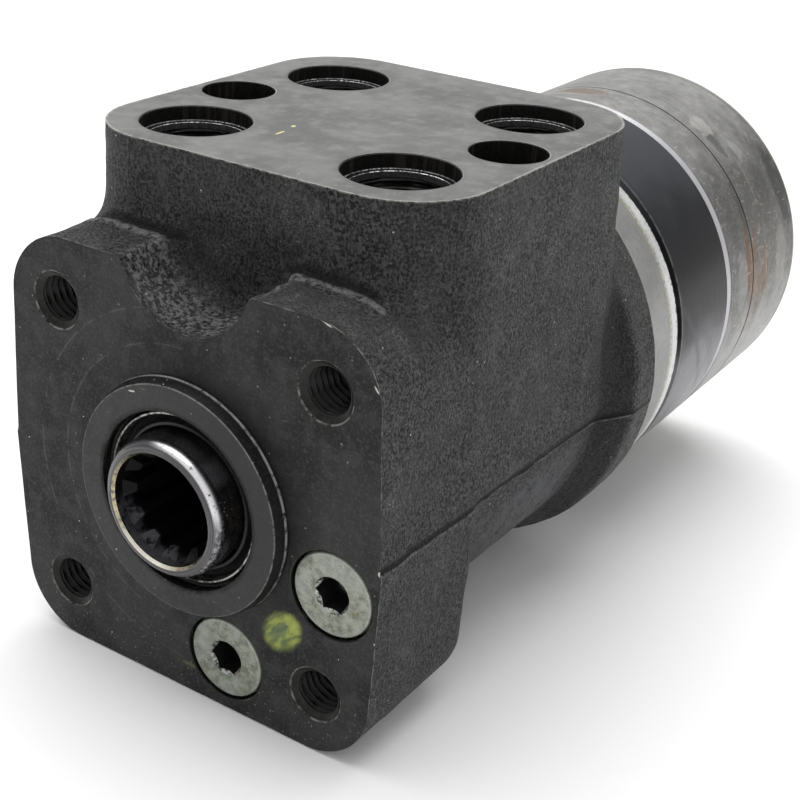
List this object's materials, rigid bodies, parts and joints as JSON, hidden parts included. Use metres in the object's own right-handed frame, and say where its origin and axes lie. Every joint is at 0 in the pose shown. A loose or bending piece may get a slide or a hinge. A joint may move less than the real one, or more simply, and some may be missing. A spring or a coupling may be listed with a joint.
{
  "type": "orbital steering unit",
  "caption": "Hydrostatic orbital steering unit: cast housing with port block and square mounting flange, splined spool neck, and a round gear set stack with end cover.",
  "frame": {"origin": "on the shaft axis, in the plane of the front mounting face", "axes": "+Y along the shaft from the mounting face towards the gear set, +Z from the shaft axis towards the port face, +X to the right seen from the mounting face's front"},
  "size_m": [0.091, 0.1921, 0.1022],
  "materials": {
    "housing": "black oxide casting with machined faces",
    "seal_rubber": "black nitrile",
    "bearing_steel": "ground bearing steel",
    "cage_steel": "pressed steel cage",
    "spring_steel": "blued spring steel",
    "spool_steel": "hardened and ground steel",
    "dark_steel": "hardened steel, oiled",
    "gear_steel": "lapped steel",
    "plate_steel": "ground light steel",
    "channel_steel": "bright turned steel",
    "rim_steel": "blue-black polished steel",
    "cover_steel": "bare turned steel with rust stains",
    "bolt_steel": "black socket head screws",
    "copper_washer": "soft sealing washers",
    "zinc_plating": "zinc plated, faint green cast"
  },
  "bodies": {
    "root": {"housing": "housing", "dust_seal": "seal_rubber", "shaft_seal": "seal_rubber", "bearing_outer_race": "bearing_steel", "distributor_plate": "plate_steel", "channel_plate": "channel_steel", "gear_rim": "rim_steel", "end_cover": "cover_steel", "o_ring_housing": "seal_rubber", "o_ring_rim_front": "seal_rubber", "o_ring_rim_rear": "seal_rubber", "cover_bolts": "bolt_steel", "bolt_washers": "copper_washer", "check_bushing": "dark_steel", "plug_upper": "zinc_plating", "plug_lower": "zinc_plating", "plug_seals": "copper_washer", "shock_seats": "dark_steel", "shock_spring_upper": "spring_steel", "shock_spring_lower": "spring_steel"},
    "sleeve": {"sleeve": "spool_steel", "cross_pin": "bearing_steel", "spring_ring": "bearing_steel", "leaf_springs": "spring_steel"},
    "spool": {"spool": "spool_steel", "bearing_inner_race": "bearing_steel"},
    "needle_cage": {"needle_cage": "cage_steel", "bearing_needles": "bearing_steel"},
    "orbit": {"cardan_spacer": "dark_steel"},
    "rotor": {"rotor": "gear_steel"},
    "cardan": {"cardan_shaft": "dark_steel"},
    "check_ball": {"check_ball": "bearing_steel"},
    "poppet_upper": {"shock_poppet_upper": "bearing_steel"},
    "poppet_lower": {"shock_poppet_lower": "bearing_steel"}
  },
  "joints": [
    {"name": "sleeve_turn", "type": "hinge", "parent": "root", "child": "sleeve", "pos_m": [0, 0.05, 0], "axis": [0, 1, 0], "continuous": true},
    {"name": "spool_turn", "type": "hinge", "parent": "sleeve", "child": "spool", "pos_m": [0, 0.05, 0], "axis": [0, 1, 0], "range_deg": [-8, 8], "stiffness_Nm_per_rad": 12, "deforming": ["leaf_springs"]},
    {"name": "cage_turn", "type": "hinge", "parent": "root", "child": "needle_cage", "pos_m": [0, 0.014, 0], "axis": [0, 1, 0], "continuous": true},
    {"name": "rotor_orbit", "type": "hinge", "parent": "root", "child": "orbit", "pos_m": [0, 0.127, 0], "axis": [0, 1, 0], "continuous": true},
    {"name": "rotor_turn", "type": "hinge", "parent": "orbit", "child": "rotor", "pos_m": [0, 0.127, 0.0026], "axis": [0, 1, 0], "continuous": true},
    {"name": "cardan_turn", "type": "hinge", "parent": "orbit", "child": "cardan", "pos_m": [0, 0.036, 0], "axis": [0, 0.9996, 0.0286], "continuous": true},
    {"name": "check_ball_lift", "type": "slide", "parent": "root", "child": "check_ball", "axis": [0, 1, 0], "range_m": [0, 0.0018]},
    {"name": "poppet_upper_lift", "type": "slide", "parent": "root", "child": "poppet_upper", "axis": [0, -1, 0], "range_m": [0, 0.0015], "stiffness_N_per_m": 20000, "springref_m": -0.002, "deforming": ["shock_spring_upper"]},
    {"name": "poppet_lower_lift", "type": "slide", "parent": "root", "child": "poppet_lower", "axis": [0, -1, 0], "range_m": [0, 0.0015], "stiffness_N_per_m": 20000, "springref_m": -0.002, "deforming": ["shock_spring_lower"]}
  ],
  "couplings": [
    {"joint": "cage_turn", "follows": "sleeve_turn", "ratio": 0.5},
    {"joint": "rotor_orbit", "follows": "sleeve_turn", "ratio": -6},
    {"joint": "rotor_turn", "follows": "sleeve_turn", "ratio": 7},
    {"joint": "cardan_turn", "follows": "sleeve_turn", "ratio": 7}
  ]
}
